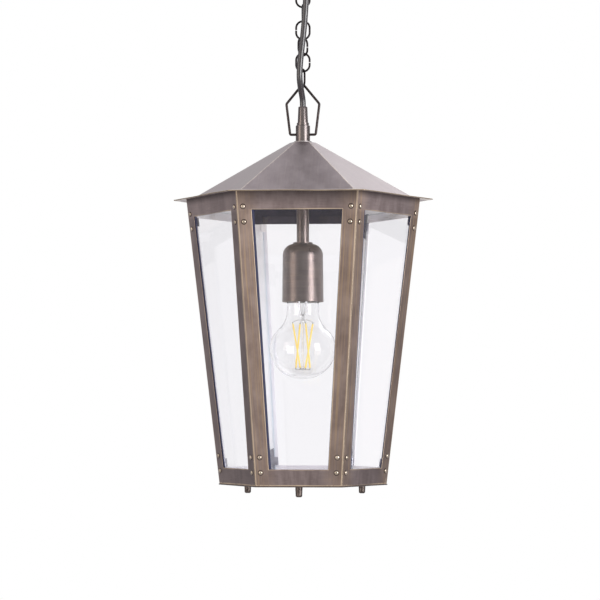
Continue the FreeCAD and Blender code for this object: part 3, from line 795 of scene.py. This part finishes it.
def side_frame(k):
    """One side: a sheet folded in at top and bottom, its window edged by two stiles and two rails."""
    # The second slot is painted shade: dark navy inside under the roof and on the front windows' edges
    outside, shade_inside, pale_inside = range(3)
    climbs = [0.0, edge_band, bottom_rail / 2, bottom_rail - edge_band, bottom_rail]
    climbs += [face_length - d for d in (top_rail, top_rail - edge_band, top_rail / 2, edge_band, 0.0)]
    outer_path = [Vector((bottom_flat - bottom_lip, body_low))]
    outer_path += [up_the_slope(v) for v in climbs]
    outer_path.append(Vector((lip_flat, lip_high)))
    inner_path = inset_path(outer_path, sheet)
    climbs = [-bottom_lip] + climbs + [face_length + bottom_lip]
    window_low, window_high = bottom_rail, face_length - top_rail
    insets = [0.0, edge_band, stile / 2, stile - edge_band, stile, stile + grain_turn]
    rail_shares = [0.0, 0.0, 0.1, 0.4, 0.5, 1.0]
    columns = [(-1, d, share) for d, share in zip(insets, rail_shares)]
    columns += [(1, d, share) for _, d, share in columns[::-1]]
    last_row, last_column = len(outer_path) - 1, len(columns) - 1
    low, left = climbs.index(window_low), insets.index(stile)
    high, right = low + 1, last_column - left
    work = sheet_work()

    def rows_along(path):
        """A row of vertices for each place on the folded line, with the window's columns square to it."""
        rows = []
        for (a, z), (outer_a, _) in zip(path, outer_path):
            half = outer_a * mitre
            ends = a * mitre - seam
            rows.append([])
            for side, d, _ in columns:
                x = ends if d == 0 else min(half - d, ends - edge_band / 4)
                rows[-1].append(work.verts.new((side * x, -a, z)))
        return rows

    outer, inner = rows_along(outer_path), rows_along(inner_path)

    def inset(row, column):
        """The distance of a place on the sheet from the nearest of its edges."""
        v, d = climbs[row], columns[column][1]
        from_window = max(stile - d, window_low - v, v - window_high)
        return min(d, abs(v), max(from_window, 0.0) + window_wear)

    def mark(face_row, row, column):
        """The marks of a place on a face, which beside the window is all stile."""
        side, d, share = columns[column]
        across = d if side < 0 else side_shift - d
        along = climbs[row] + side_step * k
        return across, along, inset(row, column), 0.0 if face_row == low else share

    for r in range(last_row):
        # The back side's top rail is painted dark inside, as shade under the roof
        inside = shade_inside if k == back_side and r > low else pale_inside
        for c in range(last_column):
            if r == low and left <= c < right:
                continue
            here = [(r, c), (r, c + 1), (r + 1, c + 1), (r + 1, c)]
            marks = [mark(r, a, b) for a, b in here]
            sheet_quad(work, [outer[a][b] for a, b in here], outside, marks)
            sheet_quad(work, [inner[a][b] for a, b in here[::-1]], inside, marks[::-1])
    rims = []
    for r in range(last_row):
        rims += [((r + 1, 0), (r, 0)), ((r, last_column), (r + 1, last_column))]
    for c in range(last_column):
        rims += [((0, c), (0, c + 1)), ((last_row, c + 1), (last_row, c))]
    for c in range(left, right):
        rims += [((low, c + 1), (low, c)), ((high, c), (high, c + 1))]
    rims += [((low, left), (high, left)), ((high, right), (low, right))]
    # The front sides' window edges are painted dark, as shade
    rim_slot = pale_inside if k in back_sides else shade_inside
    for (a, b), (c, d) in rims:
        corners = [outer[c][d], outer[a][b], inner[a][b], inner[c][d]]
        sheet_quad(work, corners, rim_slot, unmarked)
    bmesh.ops.transform(work, matrix=turn(k), verts=work.verts)
    piece = sheet_piece(work, f"side_frame_{k + 1}", [brass_frame, inner_shade, inner_pale], frame_angle)
    bevel(piece, sheet_bevel)


for k in range(sides):
    side_frame(k)


# Roof

roof_low, roof_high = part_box("roof")
roof_verts = [v.co for v in nodes["roof"].data.vertices]
roof_cap = [v for v in roof_verts if v.z > roof_high.z - level_play]
brim_radius = roof_high.x
brim_low = roof_low.z
cap_radius = max(v.x for v in roof_cap)
roof_hole = min(v.xy.length for v in roof_cap)
fold_z = min(round(v.z, 5) for v in roof_verts if v.z > brim_low + sheet + 10 * level_play)
fold_radius = max(v.x for v in roof_verts if abs(v.z - fold_z) < 2 * level_play)


def roof():
    """One sheet folded along six ridges, with a brim whose edge isn't quite straight."""
    outside, inside, brim_edge = range(3)
    levels = [(brim_radius, brim_low + sheet)]
    for row in range(panel_rows + 1):
        t = row / panel_rows
        levels.append((fold_radius + (cap_radius - fold_radius) * t, fold_z + (roof_high.z - fold_z) * t))
    lengths = [0.0]
    for (a, z), (b, w) in zip(levels, levels[1:]):
        lengths.append(lengths[-1] + math.hypot(b - a, w - z))
    last = len(levels) - 1
    work = sheet_work()

    def place(level, k, column, drop):
        """A place on panel k, a share of the way from one ridge to the next, with the wave at the brim."""
        radius, z = levels[level]
        share = column / panel_columns
        first, second = side_angle * (k - 2), side_angle * (k - 1)
        x = radius * (math.cos(first) + (math.cos(second) - math.cos(first)) * share)
        y = radius * (math.sin(first) + (math.sin(second) - math.sin(first)) * share)
        point = Vector((x, y, z - drop))
        if level == 0:
            point.z += brim_wave * noise.noise(point * brim_wave_scale) * math.sin(math.pi * share)
        return point

    def surface_points(drop):
        grid = {}
        for level in range(len(levels)):
            for k in range(sides):
                for column in range(panel_columns):
                    grid[level, k, column] = work.verts.new(place(level, k, column, drop))
        return grid

    def at(grid, k, level, column):
        return grid[level, (k + column // panel_columns) % sides, column % panel_columns]

    def mark(k, face_level, level, column):
        wide = levels[level][0]
        off_middle = column / panel_columns - 0.5
        from_edge = wide * (0.5 - abs(off_middle))
        if face_level == 0:
            from_edge = min(from_edge, lengths[level])
        return wide * off_middle, lengths[level] + panel_step * k, from_edge, 0.0

    top, under = surface_points(0.0), surface_points(sheet)
    for k in range(sides):
        for column in range(panel_columns):
            for level in range(last):
                here = [(level, column), (level, column + 1), (level + 1, column + 1), (level + 1, column)]
                marks = [mark(k, level, *spot) for spot in here]
                under_slot = outside if level == 0 else inside
                sheet_quad(work, [at(top, k, *spot) for spot in here], outside, marks)
                sheet_quad(work, [at(under, k, *spot) for spot in here[::-1]], under_slot, marks[::-1])
            rim = [(0, column + 1), (0, column)]
            corners = [at(top, k, *spot) for spot in rim] + [at(under, k, *spot) for spot in rim[::-1]]
            sheet_quad(work, corners, brim_edge, unmarked)
    holes = []
    for grid, drop, slot in ((top, 0.0, outside), (under, sheet, inside)):
        outline = [grid[last, k, column] for k in range(sides) for column in range(panel_columns)]
        hole = []
        for v in outline:
            flat = Vector((v.co.x, v.co.y, 0)).normalized() * roof_hole
            hole.append(work.verts.new((flat.x, flat.y, roof_high.z - drop)))
        for s in range(len(outline)):
            n = (s + 1) % len(outline)
            corners = [outline[s], outline[n], hole[n], hole[s]]
            if slot == inside:
                corners.reverse()
            sheet_quad(work, corners, slot, [(v.co.x, v.co.y, far_inset, 0.0) for v in corners])
        holes.append(hole)
    upper, lower = holes
    for s in range(len(upper)):
        n = (s + 1) % len(upper)
        sheet_quad(work, [upper[s], upper[n], lower[n], lower[s]], inside, unmarked)
    piece = sheet_piece(work, "roof", [brass_roof, inner_roof, bare_edge], roof_angle)
    bevel(piece, roof_bevel, angle=roof_bevel_angle)


roof()


# Panes: clear faces with tinted edges, and on the three front sides a bead of sealant beside them, darkened
# as painted shade of the windows' inner edges

def pane(k):
    node = f"pane_{k + 1}"
    mesh, work = cleaned(node)
    largest = max(f.calc_area() for f in work.faces)
    for face in work.faces:
        face.material_index = 0 if face.calc_area() > largest * pane_edge_share else 1
    work.to_mesh(mesh)
    work.free()
    piece = new_object(node + "_made", mesh, [pane_glass, pane_edge], [node])
    bevel(piece, pane_arris, segments=1, slot=1)


def sealant_shade_strip(side, reach):
    """A thin bead on the front pane's outer face, from under the stile to a little beyond its edge."""
    verts = []
    for v in (bottom_rail - sealant_shade_under, face_length - top_rail + sealant_shade_under):
        a, z = up_the_slope(v) + Vector((-slope.y, slope.x)) * (sheet - sealant_shade_depth)
        half = up_the_slope(v).x * mitre
        for depth in (0.0, sealant_shade_depth):
            for d in (stile - sealant_shade_under, stile + reach):
                shift = Vector((0, slope.y, slope.x)) * depth
                verts.append(Vector((side * (half - d), -a, z)) + shift)
    faces = [(0, 1, 3, 2), (4, 6, 7, 5), (0, 4, 5, 1), (2, 3, 7, 6), (0, 2, 6, 4), (1, 5, 7, 3)]
    return verts, faces


def bead(k):
    chunks = [sealant_shade_strip(-1, sealant_shade_left), sealant_shade_strip(1, sealant_shade_right)]
    mesh = mesh_of(f"sealant_{k + 1}", *joined(chunks))
    mesh.transform(turn(k))
    new_object(mesh.name, mesh, [sealant_shade], [])


for k in range(sides):
    pane(k)
    if k not in back_sides:
        bead(k)


# Rivets: smooth domes where the solids have their heads

def dome():
    """A rivet's head, drawn about the Z axis from its seat up, with a rounded brow."""
    profile = [(0.0, 0.0), (rivet_radius * rivet_foot, 0.0), (rivet_radius * rivet_waist, rivet_lift)]
    for k in range(rivet_rings + 1):
        a = math.pi / 2 * k / rivet_rings
        rise = (rivet_height - rivet_brow) * math.sin(a)
        profile.append((rivet_radius * math.cos(a), rivet_brow + rise))
    profile[-1] = (0.0, rivet_height)
    return lathe(profile, rivet_segments)


def tarnish_and_shade_ring():
    """A dark ring on the sheet, just round a rivet's head: tarnish, and painted shade at the head's foot."""
    inner, outer = rivet_radius * dark_ring_inner, rivet_radius * dark_ring_outer
    profile = [
        (inner, dark_ring_low),
        (inner, dark_ring_high),
        (outer - dark_ring_fade, dark_ring_middle),
        (outer, dark_ring_low),
        (inner, dark_ring_low),
    ]
    return lathe(profile, rivet_segments)


def rivets(node):
    heads, rings = [], []
    for group in islands(node):
        middle = sum(group, Vector()) / len(group)
        k = round((math.atan2(middle.y, middle.x) + math.pi / 2) / side_angle)
        outward = turn(k) @ Vector((0, -slope.y, -slope.x))
        seat = middle - outward * (outward.dot(middle) - min(outward.dot(p) for p in group))
        settle = Matrix.Translation(seat) @ outward.to_track_quat("Z", "Y").to_matrix().to_4x4()
        for chunk, (verts, faces) in ((heads, dome()), (rings, tarnish_and_shade_ring())):
            chunk.append(([settle @ v for v in verts], faces))
    two_part(node, heads, rings, [rivet_brass, tarnish_and_shade])


for end in ("top", "bottom"):
    rivets(f"frame_rivets_{end}")


# Solids whose shape is right already

def pale_below(piece, height):
    """Paints a piece pale below a height, in line with the rail beside it, whose dark navy is painted shade.
    """
    work = bmesh.new()
    work.from_mesh(piece.data)
    everything = work.verts[:] + work.edges[:] + work.faces[:]
    bmesh.ops.bisect_plane(work, geom=everything, plane_co=(0, 0, height), plane_no=(0, 0, 1))
    for face in work.faces:
        face.material_index = 1 if face.calc_center_median().z < height else 0
    work.to_mesh(piece.data)
    work.free()
    piece.data.materials.append(inner_pale)


# Top brackets are dark navy as painted shade, the back one pale below its rail
for k in range(sides):
    bracket = dressed(f"top_bracket_{k + 1}", inner_shade, hairline_edge)
    if k == back_side:
        pale_below(bracket, up_the_slope(face_length - top_rail).y)
    dressed(f"bottom_bracket_{k + 1}", bracket_metal, hairline_edge)
for node in ("collar", "cord_gland"):
    dressed(node, collar_brass, turned_edge)
for node in ("stem", "lampholder_cup"):
    dressed(node, turned_brass, turned_edge)
dressed("roof_washer", washer_metal)
dressed("base_plate", turned_brass)
dressed("foot_nuts", foot_metal, soft_edge)
dressed("base_screws", foot_metal)
dressed("lampholder_insert", porcelain, soft_edge)
dressed("bulb_cap", cap_metal, soft_edge)
dressed("bulb_glass", bulb_clear, 0.0, bulb_angle)
dressed("inner_flex", cable_sheath, 0.0)
for node in ("ceiling_rose", "hook_flange"):
    dressed(node, turned_brass, soft_edge, body="ceiling")
dressed("hook_nut", dark_wire, soft_edge, body="ceiling")
dressed("ceiling_hook", dark_wire, soft_edge, wire_angle, body="ceiling")
dressed("rose_grommet", rubber, soft_edge, body="ceiling")
dressed("bail", bail_wire, 0.0, wire_angle, wire_coat, "bail")
for k in range(1, links + 1):
    dressed(f"chain_link_{k}", dark_wire, 0.0, wire_angle, wire_coat, f"link_{k}")


# Bulb's inside

def stick_axis(group):
    """The upper and lower end of one stick's axis."""
    middle_z = sum(p.z for p in group) / len(group)
    top = [p for p in group if p.z > middle_z]
    foot = [p for p in group if p.z <= middle_z]
    return sum(top, Vector()) / len(top), sum(foot, Vector()) / len(foot)


def filaments():
    """Four coated sticks with bare metal ends."""
    sticks, caps = [], []
    for a, b in stick_ends:
        run = (b - a).normalized()
        sticks.append(swept([a, (a + b) / 2, b], filament_radius, stick_segments))
        for end in ([a - run * stick_cap, a], [b, b + run * stick_cap]):
            caps.append(swept(end, filament_radius * cap_share, cap_segments))
    two_part("bulb_filaments", sticks, caps, [filament_coat, lead_metal])


def bowed(start, end, lift):
    """A wire from one place to another that bows upwards on its way, or downwards by a negative lift."""
    points = []
    for k in range(lead_steps + 1):
        t = k / lead_steps
        points.append(start.lerp(end, t) + Vector((0, 0, lift * math.sin(math.pi * t))))
    return points


def mount():
    """The bulb's glass flare and rod, pinched below its waist, and the wires that carry the sticks."""
    low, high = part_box("bulb_mount")
    flare = [(mount_foot * share, high.z - drop) for share, drop in flare_outline]
    hollow = [(r - flare_wall, z) for r, z in flare] + [(0.0, high.z - flare_depth)]
    rod = [(rod_radius * share, high.z - drop) for share, drop in rod_outline]
    rod += [(rod_radius * share, low.z + rise) for share, rise in tip_outline]
    glass = lathe(hollow[::-1] + flare + rod, mount_segments)
    top = Vector((0, 0, high.z - lead_drop))
    tip = Vector((0, 0, low.z + lead_rise))
    wires = []
    for a, b in stick_ends:
        run = (b - a).normalized()
        wires.append(bowed(top, a - run * stick_cap, bow_up))
        wires.append(bowed(tip, b + run * stick_cap, bow_down))
    for side in (-1, 1):
        start = Vector((side * mount_foot * side_lead_start, 0, high.z))
        waist = Vector((side * mount_foot * side_lead_waist, 0, high.z - side_lead_drop))
        shoulder = top + Vector((side * side_lead_spread, 0, side_lead_lift))
        wires.append([start, waist, shoulder, top])
    leads = [swept(points, lead_radius, lead_segments) for points in wires]
    two_part("bulb_mount", [glass], leads, [bulb_clear, lead_metal])


stick_ends = [stick_axis(group) for group in islands("bulb_filaments")]
filaments()
mount()


# Cable

def spline_points(route):
    """Points along a smooth line that has the route's points as its control points."""
    curve = bpy.data.curves.new("route", "CURVE")
    curve.dimensions = "3D"
    spline = curve.splines.new("NURBS")
    spline.points.add(len(route) - 1)
    for point, place in zip(spline.points, route):
        point.co = (*place, 1.0)
    spline.order_u = route_order
    spline.use_endpoint_u = True
    spline.resolution_u = route_steps
    holder = bpy.data.objects.new("route", curve)
    scene.collection.objects.link(holder)
    line = bpy.data.meshes.new_from_object(holder.evaluated_get(bpy.context.evaluated_depsgraph_get()))
    points = [v.co.copy() for v in line.vertices]
    bpy.data.objects.remove(holder)
    bpy.data.curves.remove(curve)
    bpy.data.meshes.remove(line)
    return points


def cable_weights(z, stations):
    """The two bodies that a place on the cable follows, and the second one's share."""
    for (upper, above), (lower, below) in zip(stations, stations[1:]):
        if z >= below:
            return upper, lower, min(max((above - z) / (above - below), 0.0), 1.0)
    return stations[-1][0], stations[-1][0], 0.0


def cable():
    """A tube that stays in the rose and the gland, and bends with the chain between them."""
    points = spline_points(flex_route)
    mesh = mesh_of("flex_made", *swept(points, flex_diameter / 2, flex_segments), round_angle)
    piece = new_object("flex_made", mesh, [cable_sheath], ["flex"], "ceiling")
    stations = [("ceiling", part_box("ceiling_rose")[0].z)]
    for k in range(1, links + 1):
        low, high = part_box(f"chain_link_{k}")
        stations.append((f"link_{k}", (low.z + high.z) / 2))
    stations.append((f"link_{links}", low.z - below_link))
    stations.append(("lantern", flex_route[1][2]))
    followed = list(dict.fromkeys(body for body, _ in stations))
    rig = bpy.data.armatures.new("cable_rig")
    holder = bpy.data.objects.new("cable_rig", rig)
    scene.collection.objects.link(holder)
    bpy.context.view_layer.objects.active = holder
    bpy.ops.object.mode_set(mode="EDIT")
    for body in followed:
        bone = rig.edit_bones.new(body)
        bone.head = (0, 0, 0)
        bone.tail = (0, 0, bone_length)
    bpy.ops.object.mode_set(mode="OBJECT")
    for body in followed:
        follow = holder.pose.bones[body].constraints.new("CHILD_OF")
        follow.target = frame["bodies"][body]
        follow.inverse_matrix = Matrix.Identity(4)
    groups = {body: piece.vertex_groups.new(name=body) for body in followed}
    for vert in mesh.vertices:
        first, second, share = cable_weights(vert.co.z, stations)
        smooth = share * share * (3 - 2 * share)
        groups[first].add([vert.index], 1 - smooth, "ADD")
        groups[second].add([vert.index], smooth, "ADD")
    modifier = piece.modifiers.new("rig", "ARMATURE")
    modifier.object = holder


cable()


# Stage, light and camera

def floor():
    """A pale floor far below, which fades to white before its edges."""
    f = floor_half
    mesh = bpy.data.meshes.new("floor")
    mesh.from_pydata([(x, y, floor_z) for x, y in ((-f, -f), (f, -f), (f, f), (-f, f))], [], [(0, 1, 2, 3)])
    piece = bpy.data.objects.new("floor", mesh)
    scene.collection.objects.link(piece)
    paint = plain_material("floor_paint", (0.94, 0.94, 0.94), (0.96, 0.96, 0.96), 0.7, 3.0)
    paint.cycles.emission_sampling = "NONE"
    tree = paint.node_tree
    far = add(tree, "ShaderNodeVectorMath", {0: object_place(tree)}, operation="LENGTH").outputs["Value"]
    glow = add(tree, "ShaderNodeEmission", {"Color": white})
    blended(tree, remap(tree, far, floor_near, floor_far), tree.nodes["Principled BSDF"], glow)
    mesh.materials.append(paint)
    piece.visible_glossy = False


def world():
    """White to the camera, through glass and on dull surfaces, with greys for metal to mirror."""
    scene.world = bpy.data.worlds.new("studio")
    scene.world.use_nodes = True
    tree = scene.world.node_tree
    tree.nodes.clear()
    toward = parts(tree, add(tree, "ShaderNodeTexCoord").outputs["Generated"])
    path = add(tree, "ShaderNodeLightPath").outputs

    # What metal mirrors: a grey on each side, the backdrop, the front and overhead
    mirrored = mixed(tree, remap(tree, toward["X"], *across_span), rgb(*left_glow), rgb(*right_glow))
    backdrop = remap(tree, toward["X"], *backdrop_across, *backdrop_glow)
    mirrored = mixed(tree, remap(tree, toward["Y"], *backdrop_span), mirrored, backdrop)
    mirrored = mixed(tree, remap(tree, toward["Y"], *front_span, 1.0, 0.0), mirrored, rgb(*front_glow))
    mirrored = mixed(tree, remap(tree, toward["Z"], *overhead_span), mirrored, rgb(*overhead_glow))

    # What metal mirrors through glass is dimmer towards the front
    seen_in_metal = maths(tree, "MINIMUM", path["Glossy Depth"], 1.0)
    through_glass = mixed(tree, seen_in_metal, white, remap(tree, toward["Y"], *dim_span, dim_glow, 1.0))

    colour = mixed(tree, path["Is Glossy Ray"], white, mirrored)
    colour = mixed(tree, path["Is Transmission Ray"], colour, through_glass)
    colour = mixed(tree, path["Is Camera Ray"], colour, white)
    background = add(tree, "ShaderNodeBackground", {"Color": colour})
    add(tree, "ShaderNodeOutputWorld", {"Surface": background.outputs[0]})


def softbox(name, place, aim, size, power, colour):
    light = bpy.data.lights.new(name, "AREA")
    light.shape = "RECTANGLE"
    light.size, light.size_y = size
    light.energy = power
    light.color = colour
    lamp = bpy.data.objects.new(name, light)
    lamp.location = place
    lamp.rotation_euler = (Vector(aim) - Vector(place)).to_track_quat("-Z", "Y").to_euler()
    scene.collection.objects.link(lamp)


def camera():
    data = bpy.data.cameras.new("camera")
    data.lens = camera_lens
    data.sensor_width = camera_sensor
    view = bpy.data.objects.new("camera", data)
    a = math.radians(camera_azimuth)
    view.location = (camera_distance * math.sin(a), -camera_distance * math.cos(a), camera_height)
    view.rotation_euler = (math.radians(90 + camera_pitch), 0, a + math.radians(camera_yaw))
    scene.collection.objects.link(view)
    scene.camera = view


floor()
world()
softbox("key", (1.6, -1.4, -0.25), (0, 0, -0.35), size=(1.1, 1.2), power=28.5, colour=(0.99, 0.995, 1.0))
softbox("fill", (-1.5, -1.1, -0.2), (0, 0, -0.4), size=(0.9, 1.2), power=7.0, colour=(1.0, 0.90, 0.78))
softbox("back", (0.9, 1.6, 0.7), (0, 0, -0.3), size=(1.2, 1.0), power=4.0, colour=(1.0, 1.0, 1.0))
camera()
